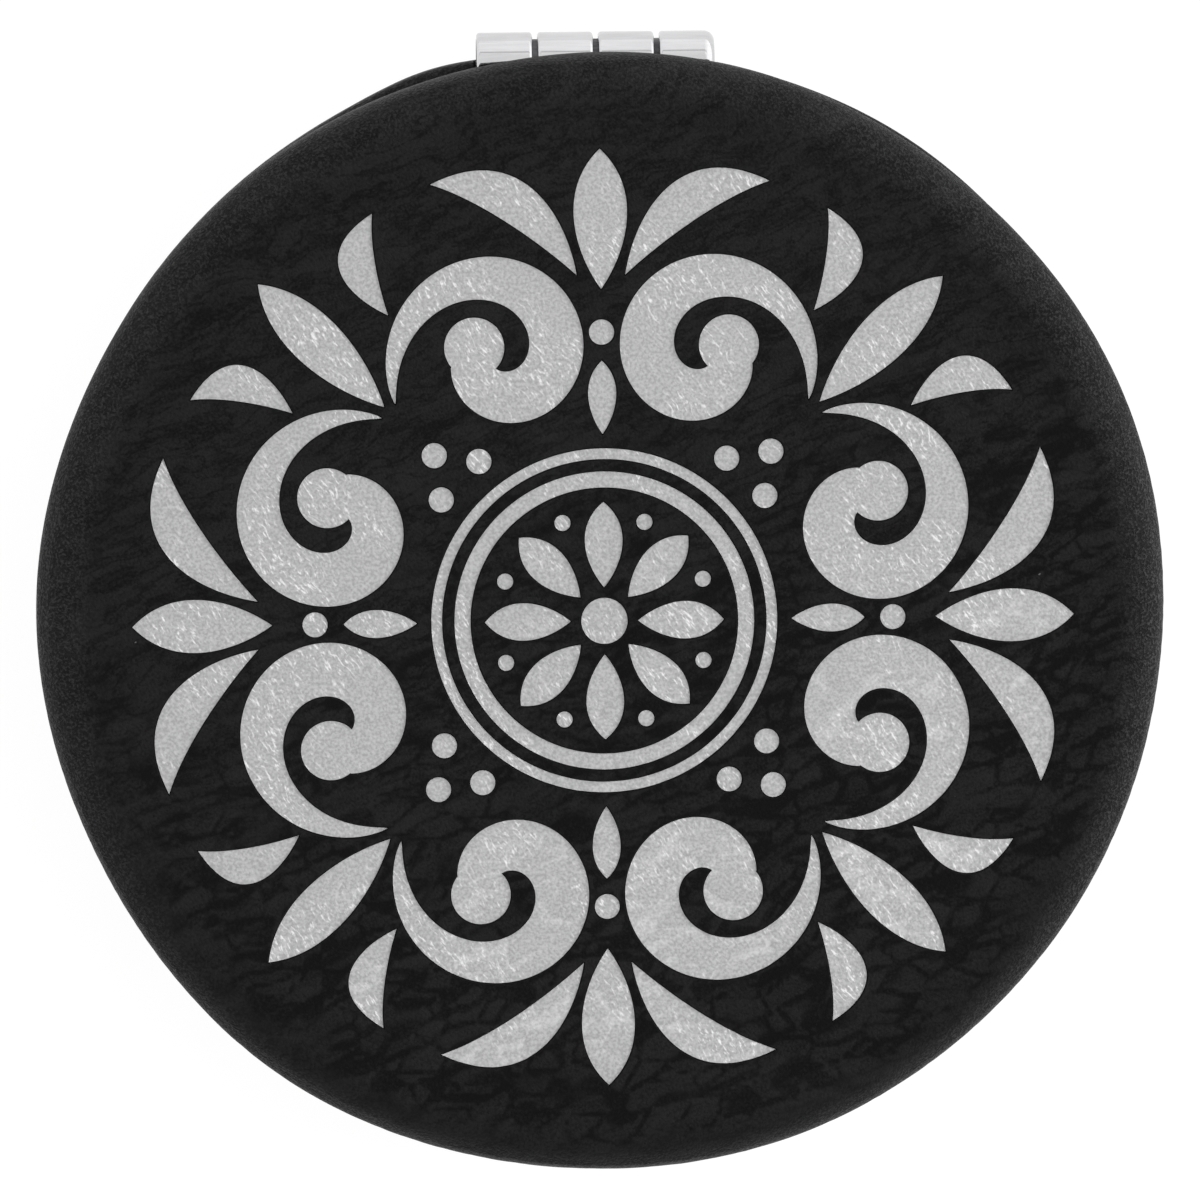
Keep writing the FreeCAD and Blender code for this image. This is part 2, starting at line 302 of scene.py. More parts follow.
def scroll_loop():
    """A spiral that starts in a point, swells, and winds in to a ball."""
    centre = ornament_point(scroll_centre_shares)
    wide_share, tight_share = scroll_radius_shares
    outer = []
    inner = []
    for i in range(scroll_points + 1):
        share = i / scroll_points
        radius = wide_share * (tight_share / wide_share) ** share
        half_width = scroll_width_share * math.sin(math.pi * swell_share * share**swell_power)
        angle = math.radians(scroll_start + scroll_turn * share)
        heading = Vector((math.cos(angle), math.sin(angle)))
        outer.append(centre + heading * ((radius + half_width) * ornament_radius))
        inner.append(centre + heading * ((radius - half_width) * ornament_radius))
    ball_centre = (outer[-1] + inner[-1]) / 2
    ball_radius = scroll_ball_share * ornament_radius
    outer = [point for point in outer if (point - ball_centre).length > ball_radius]
    inner = [point for point in inner if (point - ball_centre).length > ball_radius]
    first = outer[-1] - ball_centre
    last = inner[-1] - ball_centre
    first_angle = math.atan2(first.y, first.x)
    sweep = (math.atan2(last.y, last.x) - first_angle) % (2 * math.pi)
    steps = round(sweep * ball_radius / outline_pitch)
    ball = []
    for i in range(steps + 1):
        angle = first_angle + sweep * i / steps
        ball.append(ball_centre + Vector((math.cos(angle), math.sin(angle))) * ball_radius)
    return evenly(outer + ball + inner[:0:-1])


def mirrored(loop):
    return [Vector((-point.x, point.y)) for point in reversed(loop)]


def turned(loop, degrees):
    rotation = Matrix.Rotation(math.radians(degrees), 2)
    return [rotation @ point for point in loop]


def round_lid(loop, count, first_turn):
    return [turned(loop, first_turn + i * 360 / count) for i in range(count)]


def both_sides(loop):
    return [loop, mirrored(loop)]


def ornament_loops():
    """Every edge of the ornament: (loop, whether the silver lies inside it)."""
    sector = [
        *both_sides(scroll_loop()),
        *both_sides(leaf_loop(*wing_shares, wing_fullness_shares)),
        *both_sides(leaf_loop(*lobe_shares, lobe_fullness_shares)),
        straight_leaf(crown_shares, crown_fullness_shares),
        dot_loop((0, bead_share), bead_radius_share),
        straight_leaf(spear_shares, crown_fullness_shares),
    ]
    corner = [dot_loop(place, corner_dot_radius_share) for place in corner_dot_shares]
    corner.append(straight_leaf(corner_spear_shares, corner_fullness_shares))
    petal = straight_leaf(petal_shares, petal_fullness_shares)
    petal_dot = dot_loop((0, petal_dot_share), petal_dot_radius_share)

    solid = [dot_loop((0, 0), rosette_eye_share)]
    solid += round_lid(petal, petal_count, 0)
    solid += round_lid(petal_dot, petal_count, 180 / petal_count)
    for loop in sector:
        solid += round_lid(loop, sector_count, 0)
    for loop in corner:
        solid += round_lid(loop, sector_count, 180 / sector_count)
    edges = [(loop, True) for loop in solid]
    for inner_share, outer_share in ring_shares:
        edges.append((dot_loop((0, 0), outer_share), True))
        edges.append((dot_loop((0, 0), inner_share), False))
    return edges


def offset(loop, distance):
    """The loop moved outwards by a distance along its own normals."""
    moved = []
    for i, point in enumerate(loop):
        along = (loop[(i + 1) % len(loop)] - loop[i - 1]).normalized()
        moved.append(point + Vector((along.y, -along.x)) * distance)
    return moved


# The leatherette covers


def smooth(low, high, value):
    """0 below low and 1 above high, with a smooth step between them."""
    share = min(1.0, max(0.0, (value - low) / (high - low)))
    return share * share * (3 - 2 * share)


def arc_rows(centre_radius, centre_height, radius, start, end, steps):
    """Points of a section's arc, as (distance from the axis, height), from one angle to another."""
    rows = []
    for i in range(steps + 1):
        angle = math.radians(start + (end - start) * i / steps)
        rows.append((centre_radius + radius * math.cos(angle), centre_height + radius * math.sin(angle)))
    return rows


def cover_section():
    """The section of a cover from the edge of its flat top, down the outside, and up the inside."""
    wall_top = half_height - shoulder_radius
    wall_foot = rim_height + rim_radius
    inner_shoulder = shoulder_radius - skin_thickness
    fold_centre = (cavity_radius + fold_radius, rim_height + fold_radius)
    rows = arc_rows(flat_radius, wall_top, shoulder_radius, 90, 0, shoulder_steps)
    for i in range(1, wall_steps):
        rows.append((case_radius, wall_top + (wall_foot - wall_top) * i / wall_steps))
    rows += arc_rows(case_radius - rim_radius, wall_foot, rim_radius, 0, -90, rim_steps)
    rows += arc_rows(*fold_centre, fold_radius, -90, -180, fold_steps)
    rows += [
        (cavity_radius, turn_in_end),
        (wall_radius, turn_in_end),
        (wall_radius, shell_rim),
        (shell_radius, shell_rim),
    ]
    rows += arc_rows(flat_radius, foam_outside - inner_shoulder, inner_shoulder, 0, 90, rim_steps)
    return rows


def outside_length():
    """How much leatherette runs from the edge of the flat top to the end of the turn-in."""
    rows = cover_section()
    outside = rows[: rows.index((cavity_radius, turn_in_end)) + 1]
    return sum(math.dist(row, following) for row, following in zip(outside, outside[1:]))


def rim_point(index, radius):
    angle = 2 * math.pi * index / rim_segments
    return Vector((radius * math.cos(angle), radius * math.sin(angle)))


def cover_side():
    """A closed mesh of the section turned about the axis. The hinge slot isn't cut yet."""
    mesh = bmesh.new()
    rings = []
    for radius, height in cover_section():
        spots = (rim_point(i, radius) for i in range(rim_segments))
        rings.append([mesh.verts.new((spot.x, spot.y, height)) for spot in spots])
    for upper, lower in zip(rings, rings[1:]):
        for i in range(rim_segments):
            j = (i + 1) % rim_segments
            mesh.faces.new((upper[i], lower[i], lower[j], upper[j]))
    mesh.faces.new(rings[0])
    mesh.faces.new(reversed(rings[-1]))
    return mesh


def prism(outline, low, high):
    """A closed mesh standing on an anticlockwise outline."""
    mesh = bmesh.new()
    foot = [mesh.verts.new((point.x, point.y, low)) for point in outline]
    head = [mesh.verts.new((point.x, point.y, high)) for point in outline]
    for i in range(len(outline)):
        j = (i + 1) % len(outline)
        mesh.faces.new((foot[i], foot[j], head[j], head[i]))
    mesh.faces.new(reversed(foot))
    mesh.faces.new(head)
    return mesh


def slot_cutter():
    """Room for the hinge leaf inside the cover's outer skin."""
    arc_radius = shell_radius + skin_margin
    back = web_outer + slot_clearance
    inner = hinge_axis.y - 2 * barrel_radius - overrun
    outline = [Vector((-slot_half, inner)), Vector((slot_half, inner)), Vector((slot_half, back))]
    reach = math.sqrt(arc_radius**2 - back**2)
    steps = 2 * shoulder_steps
    for i in range(steps + 1):
        x = reach * (1 - 2 * i / steps)
        outline.append(Vector((x, math.sqrt(arc_radius**2 - x * x))))
    outline.append(Vector((-slot_half, back)))
    return prism(outline, -overrun, ceiling)


def barrel_cutter():
    """Room for the hinge barrel."""
    mesh = prism(circle_loop(Vector((0, 0)), barrel_radius + barrel_clearance), -slot_half, slot_half)
    mesh.transform(Matrix.Translation((0, hinge_axis.y, 0)) @ Matrix.Rotation(math.pi / 2, 4, "Y"))
    return mesh


def new_object(name, mesh):
    """An object from a bmesh, which is freed."""
    data = bpy.data.meshes.new(name)
    mesh.to_mesh(data)
    mesh.free()
    piece = bpy.data.objects.new(name, data)
    bpy.context.scene.collection.objects.link(piece)
    return piece


def cut(mesh, cutters):
    """The mesh less the cutters, as a new bmesh."""
    body = new_object("cover_blank", mesh)
    tools = [new_object("cutter", cutter) for cutter in cutters]
    for tool in tools:
        modifier = body.modifiers.new("cut", "BOOLEAN")
        modifier.operation = "DIFFERENCE"
        modifier.solver = "EXACT"
        modifier.object = tool
    shape = body.evaluated_get(bpy.context.evaluated_depsgraph_get())
    result = bmesh.new()
    result.from_mesh(shape.to_mesh())
    shape.to_mesh_clear()
    for piece in (body, *tools):
        bpy.data.objects.remove(piece)
    return result


def skin_points(taken):
    """Evenly spread points over the flat top, clear of the outline points already taken."""
    tree = KDTree(len(taken))
    for i, point in enumerate(taken):
        tree.insert((point.x, point.y, 0), i)
    tree.balance()
    row_pitch = skin_pitch * math.sqrt(3) / 2
    reach = flat_radius - outline_room
    rows = int(reach / row_pitch)
    spots = []
    for row in range(-rows, rows + 1):
        y = row * row_pitch
        count = int(math.sqrt(reach**2 - y * y) / skin_pitch)
        for column in range(-count, count + 1):
            spot = Vector(((column + row % 2 / 2) * skin_pitch, y))
            if spot.length < reach and tree.find((spot.x, spot.y, 0))[2] > outline_room:
                spots.append(spot)
    return spots


def flat_top(edges):
    """The flat top: its points, its triangles with their levels, and which points lie on a pocket's floor.

    A level counts the loops round a triangle, by fours: 0 is leatherette, 1 and 3 a slope, and 2 a floor."""
    points = [rim_point(i, flat_radius) for i in range(rim_segments)]
    loops = [list(range(rim_segments))]
    on_floor = [False] * rim_segments
    for loop, silver_inside in edges:
        outward = burn_slope if silver_inside else -burn_slope
        for line, is_floor in ((offset(loop, outward), False), (loop, True)):
            loops.append(list(range(len(points), len(points) + len(line))))
            points += line
            on_floor += [is_floor] * len(line)
    points += skin_points(points)
    keep_inside = 1
    net = delaunay_2d_cdt(points, [], loops, keep_inside, outline_tolerance)
    made, _, triangles, sources, _, owners = net
    levels = [(len(owner) - 1) % 4 for owner in owners]
    floor = [any(i < len(on_floor) and on_floor[i] for i in source) for source in sources]
    fixed = [any(i < len(on_floor) for i in source) for source in sources]
    for triangle, level in zip(triangles, levels):
        for i in triangle:
            if level == 2 and not fixed[i]:
                floor[i] = True
    return made, list(zip(triangles, levels)), floor


def crease(point, half):
    """How deeply a point lies in a crease of the skin, from 0 to 1. The front is creased the most.

    The creases run between long cells. Those along the cells are wide and those across them narrow."""
    place = point + crease_seeds[half]
    shifts = [noise.noise(place / warp_length + seed) for seed in warp_seeds]
    place = place + Vector(shifts) * warp_reach
    along, across = Matrix.Rotation(math.radians(-crease_angle), 2) @ place.xy
    cell = Vector((along / crease_stretch, across, place.z)) / crease_cell
    distances, centres = noise.voronoi(cell)
    between = centres[1] - centres[0]
    lengthways = abs(between.x) / between.length
    away = (distances[1] ** 2 - distances[0] ** 2) / (2 * between.length)
    away *= crease_cell * (1 + (crease_stretch - 1) * lengthways)
    width = crease_width + (cross_crease_width - crease_width) * lengthways
    line = 1 - smooth(0, width, away)
    kept = smooth(*crease_break_range, noise.noise(place / crease_break))
    gathered = smooth(*crease_gather_range, crease_heading.dot(point.xy) / case_radius)
    return line * kept * (least_crease_share + (1 - least_crease_share) * gathered)


def sink(point, line, half):
    """How far the leatherette lies below its smooth form, from its creases and soft swells."""
    swell = (1 + noise.noise((point + crease_seeds[half]) / swell_length)) / 2
    return crease_depth * line + swell_depth * swell


def outline_wave(angle):
    """How far the lid's skin stands out from a true round, at an angle."""
    wave = 0
    for count, height, crest in outline_waves:
        wave += height * math.cos(count * (angle - math.radians(crest)))
    return wave


def bulge(angle):
    """How far the base's skin stands out beside the hinge, at an angle."""
    away = (math.degrees(angle) - base_bulge_angle) / base_bulge_width
    return base_bulge * math.exp(-away * away)


def dressed(point, half, line):
    """Where a point of a true cover lies on the wrapped one, with how deeply it lies in a crease."""
    radius = math.hypot(point.x, point.y)
    on_top = point.z > foam_outside + skin_margin
    share = 1.0 if on_top else smooth(shell_radius, case_radius, radius)
    if share == 0:
        return point
    angle = math.atan2(point.y, point.x)
    side = max(0.0, radius - flat_radius)
    rise = max(0.0, point.z - half_height + shoulder_radius)
    level = rise if side else 1.0
    tilt = math.hypot(side, level)
    outward = Vector((math.cos(angle), math.sin(angle), 0))
    normal = (outward * side + Vector((0, 0, level))) / tilt
    moved = point - normal * (share * sink(point, line, half))
    reach = smooth(flat_radius, case_radius, radius) * share
    if half == "lid":
        moved += outward * (reach * outline_wave(angle))
        moved.z += lid_crown * (1 - min(1.0, radius / flat_radius) ** 2) if on_top else 0
    else:
        mirrored_angle = math.pi - angle
        turn = math.atan2(math.sin(mirrored_angle), math.cos(mirrored_angle))
        moved += outward * (reach * (outline_wave(-angle) + bulge(turn)))
    return moved


def edge_wear_and_highlight(point, radius):
    """How much of the lighter edge a point near it gets: partly wear, partly painted highlight. The band is
    strongest at the sides and narrower at the front.
    """
    highlight_and_wear_level = side_wear_and_highlight + (end_wear_and_highlight - side_wear_and_highlight) * (point.y / case_radius) ** 2
    front = smooth(0, case_radius, -point.y)
    start = edge_start + (front_edge_start - edge_start) * front
    return highlight_and_wear_level * smooth(flat_radius + start, flat_radius + edge_end, radius)


def dress(mesh, half):
    """Wraps a mesh's points and notes on each how deeply it lies in a crease and how much of the lighter
    edge it gets, which is partly wear and partly painted highlight.
    """
    depth = mesh.verts.layers.float.new("crease")
    edge = mesh.verts.layers.float.new("edge")
    for vert in mesh.verts:
        radius = math.hypot(vert.co.x, vert.co.y)
        drop = vert.co.z - half_height if radius > flat_radius else 0
        line = crease(Vector((vert.co.x, vert.co.y, drop)), half)
        line *= 1 - edge_calm * smooth(flat_radius - calm_reach, flat_radius + calm_reach, radius)
        vert[depth] = line
        vert[edge] = edge_wear_and_highlight(vert.co, radius)
        vert.co = dressed(vert.co, half, line)


def to_row(half):
    """The matrix from a half's frame in millimetres to the row frame in metres."""
    turn = Matrix.Identity(4) if half == "lid" else Matrix.Rotation(math.pi, 4, "Y")
    return Matrix.Scale(MM, 4) @ Matrix.Translation((0, 0, parting_height)) @ turn


def finish_mesh(mesh, name, half, materials):
    """Moves a half's mesh to its place, shades it smooth with its corners sharp, and makes it a piece."""
    bmesh.ops.recalc_face_normals(mesh, faces=mesh.faces)
    limit = math.radians(sharp_angle)
    for face in mesh.faces:
        face.smooth = True
    for edge in mesh.edges:
        edge.smooth = len(edge.link_faces) == 2 and edge.calc_face_angle() < limit
    mesh.transform(to_row(half))
    piece = new_object(name, mesh)
    for material in materials:
        piece.data.materials.append(material)
    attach(piece, half)
    return piece


def cover_piece(half, edges, materials):
    """A half's cover: its side with the hinge slot cut out, and its top with a pocket for each engraving.

    The slopes round the pockets take the second material."""
    mesh = cut(cover_side(), [slot_cutter(), barrel_cutter()])
    top_level = half_height - top_tolerance
    caps = [face for face in mesh.faces if all(vert.co.z > top_level for vert in face.verts)]
    bmesh.ops.delete(mesh, geom=caps, context="FACES")
    points, triangles, floor = flat_top(edges)
    verts = []
    for point, is_floor in zip(points, floor):
        verts.append(mesh.verts.new((point.x, point.y, pocket_floor if is_floor else half_height)))
    for triangle, level in triangles:
        mesh.faces.new([verts[i] for i in triangle]).material_index = level % 2
    bmesh.ops.remove_doubles(mesh, verts=mesh.verts, dist=weld_distance)
    dress(mesh, half)
    piece = finish_mesh(mesh, f"{half}_leatherette", half, materials)
    return piece, (points, triangles)


def silver_piece(points, triangles, material):
    """The engraved silver: a thin slab in each pocket, its face one black coat below the leatherette."""
    mesh = bmesh.new()
    heights = (pocket_floor, pocket_floor + silver_core)
    used = sorted({i for triangle, level in triangles if level == 2 for i in triangle})
    sheets = []
    for height in heights:
        sheets.append({i: mesh.verts.new((points[i].x, points[i].y, height)) for i in used})
    low, high = sheets
    border = {}
    for triangle, level in triangles:
        if level != 2:
            continue
        mesh.faces.new([high[i] for i in triangle])
        mesh.faces.new([low[i] for i in reversed(triangle)])
        for i, j in zip(triangle, (*triangle[1:], triangle[0])):
            if (j, i) in border:
                del border[(j, i)]
            else:
                border[(i, j)] = True
    for i, j in border:
        mesh.faces.new((low[i], low[j], high[j], high[i]))
    dress(mesh, "lid")
    return finish_mesh(mesh, "lid_engraved_silver", "lid", [material])


def foam_piece(half, material):
    """The pad under the cover: a disc with soft edges and a slight crown."""
    edge = (foam_outside - shell_outside) * foam_round_share
    low = shell_outside + foam_gap
    high = foam_outside - foam_gap
    rows = [(0, low)]
    rows += arc_rows(foam_radius - edge, low + edge, edge, -90, 0, fold_steps)
    rows += arc_rows(foam_radius - edge, high - 2 * edge, edge, 0, 90, fold_steps)
    rows += [(foam_radius * share, high - edge * share**2) for share in foam_crown_shares]
    mesh = bmesh.new()
    verts = [mesh.verts.new((radius, 0, height)) for radius, height in rows]
    edges = [mesh.edges.new(pair) for pair in zip(verts, verts[1:])]
    bmesh.ops.spin(mesh, geom=verts + edges, axis=(0, 0, 1), angle=2 * math.pi, steps=foam_segments)
    bmesh.ops.remove_doubles(mesh, verts=mesh.verts, dist=weld_distance)
    return finish_mesh(mesh, f"{half}_foam", half, [material])


# Nodes that the materials are made of


def principled(name, colour, roughness, metallic=0.0, specular=0.5):
    material = bpy.data.materials.new(name)
    material.use_nodes = True
    shader = material.node_tree.nodes["Principled BSDF"]
    shader.inputs["Base Color"].default_value = (*colour, 1)
    shader.inputs["Roughness"].default_value = roughness
    shader.inputs["Metallic"].default_value = metallic
    shader.inputs["Specular IOR Level"].default_value = specular
    return material, material.node_tree, shader


def object_coordinates(tree):
    return tree.nodes.new("ShaderNodeTexCoord").outputs["Object"]


def axes(tree, vector):
    """The X, Y and Z sockets of a vector."""
    node = tree.nodes.new("ShaderNodeSeparateXYZ")
    tree.links.new(vector, node.inputs["Vector"])
    return node.outputs


def noise_node(tree, vector, length, detail=2.0, roughness=0.5):
    """Noise whose features are about a length in millimetres across."""
    node = tree.nodes.new("ShaderNodeTexNoise")
    node.inputs["Scale"].default_value = 1 / (length * MM)
    node.inputs["Detail"].default_value = detail
    node.inputs["Roughness"].default_value = roughness
    tree.links.new(vector, node.inputs["Vector"])
    return node


def noise_value(tree, vector, **settings):
    return noise_node(tree, vector, **settings).outputs["Fac"]


def cells_node(tree, vector, length, feature="F1"):
    """Cells about a length in millimetres across."""
    node = tree.nodes.new("ShaderNodeTexVoronoi")
    node.feature = feature
    node.inputs["Scale"].default_value = 1 / (length * MM)
    tree.links.new(vector, node.inputs["Vector"])
    return node


def ranged(tree, value, start=0.0, end=1.0, at_start=0.0, at_end=1.0):
    """A smooth step from one number to another, as a value goes from its start to its end."""
    node = tree.nodes.new("ShaderNodeMapRange")
    node.interpolation_type = "SMOOTHSTEP"
    numbers = {"From Min": start, "From Max": end, "To Min": at_start, "To Max": at_end}
    for name, number in numbers.items():
        node.inputs[name].default_value = number
    tree.links.new(value, node.inputs["Value"])
    return node.outputs["Result"]


def mixed_colours(tree, factor, first, second):
    """A mix of two colours, each a triple or a socket."""
    node = tree.nodes.new("ShaderNodeMix")
    node.data_type = "RGBA"
    sockets = [socket for socket in node.inputs if socket.type == "RGBA"]
    for socket, colour in zip(sockets, (first, second)):
        if isinstance(colour, tuple):
            socket.default_value = (*colour, 1)
        else:
            tree.links.new(colour, socket)
    tree.links.new(factor, node.inputs["Factor"])
    return next(socket for socket in node.outputs if socket.type == "RGBA")


def attribute(tree, name):
    node = tree.nodes.new("ShaderNodeAttribute")
    node.attribute_name = name
    return node.outputs["Fac"]


def maths(tree, operation, *values):
    """An operation on values, each a number or a socket."""
    node = tree.nodes.new("ShaderNodeMath")
    node.operation = operation
    for socket, value in zip(node.inputs, values):
        if isinstance(value, (int, float)):
            socket.default_value = value
        else:
            tree.links.new(value, socket)
    return node.outputs["Value"]


def scaled(tree, value, by):
    return maths(tree, "MULTIPLY", value, by)


def warped(tree, vector, length, reach):
    """Coordinates pushed about by noise, both lengths in millimetres."""
    push = noise_node(tree, vector, length)
    node = tree.nodes.new("ShaderNodeVectorMath")
    node.operation = "MULTIPLY_ADD"
    node.inputs[1].default_value = (reach * MM,) * 3
    tree.links.new(push.outputs["Color"], node.inputs[0])
    tree.links.new(vector, node.inputs[2])
    return node.outputs["Vector"]


def stretched(tree, vector, factors, angle=0.0):
    """Coordinates turned about Z and stretched, so that a pattern on them runs in streaks."""
    node = tree.nodes.new("ShaderNodeMapping")
    node.vector_type = "TEXTURE"
    node.inputs["Rotation"].default_value = (0, 0, math.radians(angle))
    node.inputs["Scale"].default_value = factors
    tree.links.new(vector, node.inputs["Vector"])
    return node.outputs["Vector"]


def bump(tree, shader, height, depth, strength=1.0):
    """Bump of a depth in millimetres on a shader."""
    node = tree.nodes.new("ShaderNodeBump")
    node.inputs["Strength"].default_value = strength
    node.inputs["Distance"].default_value = depth * MM
    tree.links.new(height, node.inputs["Height"])
    tree.links.new(node.outputs["Normal"], shader.inputs["Normal"])


# Materials


def leatherette():
    """Black leatherette: a fine pebbled grain, painted shade in its creases, darker cracks, and a lighter
    edge that is partly wear and partly painted highlight.
    """
    material, tree, shader = principled("black_leatherette", leather_black, roughness=0.5, specular=0.085)
    place = object_coordinates(tree)
    cells = cells_node(tree, warped(tree, place, length=0.9, reach=0.3), length=0.17, feature="SMOOTH_F1")
    pebble = ranged(tree, cells.outputs["Distance"], start=0.1, end=0.7, at_start=0.6, at_end=0.0)
    fine = ranged(tree, noise_value(tree, place, length=0.15, roughness=0.6), start=0.3, end=0.7)
    grain = maths(tree, "ADD", pebble, fine)
    edge = attribute(tree, "edge")
    relief = maths(tree, "MULTIPLY", grain, ranged(tree, edge, at_start=0.35, at_end=1.6))
    bump(tree, shader, relief, depth=0.05)
    tone = ranged(tree, leather_tone(tree, place, grain, fine), start=0.12, end=1.08)
    colour = mixed_colours(tree, tone, leather_dark_and_crease_shade, leather_face)
    # The lighter edge: partly wear, partly painted highlight
    worn = maths(tree, "MULTIPLY", edge, ranged(tree, grain, start=0.6, end=1.4, at_start=0.2))
    colour = mixed_colours(tree, worn, colour, leather_wear_and_highlight)
    colour = mixed_colours(tree, dust(tree, place), colour, leather_lint)
    tree.links.new(colour, shader.inputs["Base Color"])
    tree.links.new(ranged(tree, fine, at_start=0.58, at_end=0.42), shader.inputs["Roughness"])
    return material


def leather_tone(tree, place, grain, fine):
    """How light the skin is: its grain and broad streaks, less painted shade in its creases and less its
    branching cracks.
    """
    ragged = maths(tree, "ADD", attribute(tree, "crease"), scaled(tree, fine, by=0.3))
    crease_painted_shade = ranged(tree, ragged, start=0.25, end=0.9)
    streaks = warped(tree, place, length=4.0, reach=2.0)
    streaks = stretched(tree, streaks, factors=(3.5, 1.0, 1.0), angle=22)
    broad = noise_value(tree, streaks, length=1.6, detail=5.0, roughness=0.6)
    tone = maths(tree, "ADD", scaled(tree, grain, by=0.3), broad)
    # Painted shade: the skin is darkened in its creases
    tone = maths(tree, "SUBTRACT", tone, scaled(tree, crease_painted_shade, by=0.44))
    ridge = 0.5
    branches = noise_value(tree, streaks, length=1.3, detail=4.0, roughness=0.62)
    cracks = ranged(tree, maths(tree, "PINGPONG", branches, ridge), start=0.43, end=ridge, at_end=0.3)
    along = axes(tree, place)["Y"]
    cracked = ranged(tree, along, start=crack_front * MM, end=crack_back * MM, at_start=0.2)
    return maths(tree, "SUBTRACT", tone, maths(tree, "MULTIPLY", cracks, cracked))


def dust(tree, place):
    """1 on a few specks of dust and lint, and 0 elsewhere."""
    cells = cells_node(tree, stretched(tree, place, factors=(1.8, 1.0, 1.0), angle=35), length=3.0)
    speck = ranged(tree, cells.outputs["Distance"], start=0.012, end=0.02, at_start=1.0, at_end=0.0)
    parts = tree.nodes.new("ShaderNodeSeparateColor")
    tree.links.new(cells.outputs["Color"], parts.inputs["Color"])
    clean_share = 0.8
    return maths(tree, "MULTIPLY", speck, maths(tree, "GREATER_THAN", parts.outputs["Red"], clean_share))


def engraved_silver():
    """The silver core: satin, with bright slanted flecks painted as glints where the burnt film is crinkled,
    and painted highlight along the creases.
    """
    material, tree, shader = principled("engraved_silver", silver_mean, roughness=0.5, metallic=0.25)
    place = object_coordinates(tree)
    streaks = warped(tree, place, length=2.0, reach=0.8)
    streaks = stretched(tree, streaks, factors=(1.4, 0.42, 1.0), angle=-55)
    flecks = noise_value(tree, streaks, length=0.36, detail=3.0, roughness=0.62)
    patches = noise_value(tree, place, length=4.5)
    strewn = ranged(tree, patches, start=0.40, end=0.62, at_start=0.1, at_end=1.2)
    # Painted glints: bright flecks on the crinkled film
    glints = maths(tree, "MULTIPLY", ranged(tree, flecks, start=0.52, end=0.74), strewn)
    grain = noise_value(tree, place, length=0.17)
    mottle = ranged(tree, grain, start=0.3, end=0.7, at_end=0.32)
    # Painted highlight: the silver is lightened along the creases
    crease_highlight = ranged(tree, attribute(tree, "crease"), start=0.5, end=1.0, at_end=0.2)
    tone = maths(tree, "ADD", maths(tree, "ADD", glints, mottle), crease_highlight)
    tree.links.new(mixed_colours(tree, tone, silver_dull, silver_glint), shader.inputs["Base Color"])
    bump(tree, shader, maths(tree, "ADD", flecks, grain), depth=0.02, strength=0.6)
    return material


def plated(name, colour, roughness):
    """Bright plating with faint hairlines, and a soft haze that dulls it."""
    material, tree, shader = principled(name, colour, roughness, metallic=1.0)
    place = object_coordinates(tree)
    lines = stretched(tree, place, factors=(6.0, 0.5, 0.5))
    lines = noise_value(tree, lines, length=0.35, detail=3.0)
    haze = noise_value(tree, place, length=2.5, detail=3.0)
    worn = maths(tree, "ADD", scaled(tree, lines, by=0.5), scaled(tree, haze, by=0.5))
    smoothest = 0.6 * roughness
    roughest = 1.6 * roughness
    rough = ranged(tree, worn, start=0.35, end=0.65, at_start=smoothest, at_end=roughest)
    tree.links.new(rough, shader.inputs["Roughness"])
    dull_share = 0.93
    dulled = tuple(dull_share * part for part in colour)
    tint = mixed_colours(tree, ranged(tree, worn, start=0.4, end=0.6), colour, dulled)
    tree.links.new(tint, shader.inputs["Base Color"])
    bump(tree, shader, lines, depth=0.002, strength=0.5)
    return material


def silvered_glass():
    """A mirror: almost perfectly smooth, with the faintest bloom on its face."""
    silvering = (0.90, 0.915, 0.915)
    material, tree, shader = principled("silvered_glass", silvering, roughness=0.012, metallic=1.0)
    bloom = noise_value(tree, object_coordinates(tree), length=14.0, detail=4.0)
    rough = ranged(tree, bloom, start=0.35, end=0.75, at_start=0.006, at_end=0.03)
    tree.links.new(rough, shader.inputs["Roughness"])
    return material


def moulded_plastic():
    """Black plastic with a fine spark-eroded texture."""
    plastic_black = (0.012, 0.012, 0.013)
    material, tree, shader = principled("moulded_plastic", plastic_black, roughness=0.45)
    spark = noise_value(tree, object_coordinates(tree), length=0.25, detail=3.0)
    bump(tree, shader, spark, depth=0.012, strength=0.6)
    rough = ranged(tree, spark, start=0.3, end=0.7, at_start=0.38, at_end=0.55)
    tree.links.new(rough, shader.inputs["Roughness"])
    return material


def mottled(name, dark, light, length, depth, roughness):
    """A matte material with a random grain, whose length and depth are in millimetres."""
    material, tree, shader = principled(name, light, roughness, specular=0.2)
    grain = noise_value(tree, object_coordinates(tree), length=length, detail=4.0, roughness=0.65)
    colour = mixed_colours(tree, ranged(tree, grain, start=0.35, end=0.65), dark, light)
    tree.links.new(colour, shader.inputs["Base Color"])
    bump(tree, shader, grain, depth)
    return material


def burnt_and_shaded_slope():
    """The slope where the coat has been burnt through, dark partly from scorching and partly as painted
    shade of the step.
    """
    return mottled("burnt_and_shaded_slope", scorch_and_shade_dark, scorch_and_shade_light, length=0.15, depth=0.01, roughness=0.8)


def pale_foam():
    dark = (0.55, 0.54, 0.50)
    light = (0.74, 0.73, 0.69)
    return mottled("pale_foam", dark, light, length=0.5, depth=0.08, roughness=0.9)


def grey_board():
    dark = (0.20, 0.195, 0.185)
    light = (0.33, 0.32, 0.30)
    return mottled("grey_board", dark, light, length=0.35, depth=0.03, roughness=0.85)


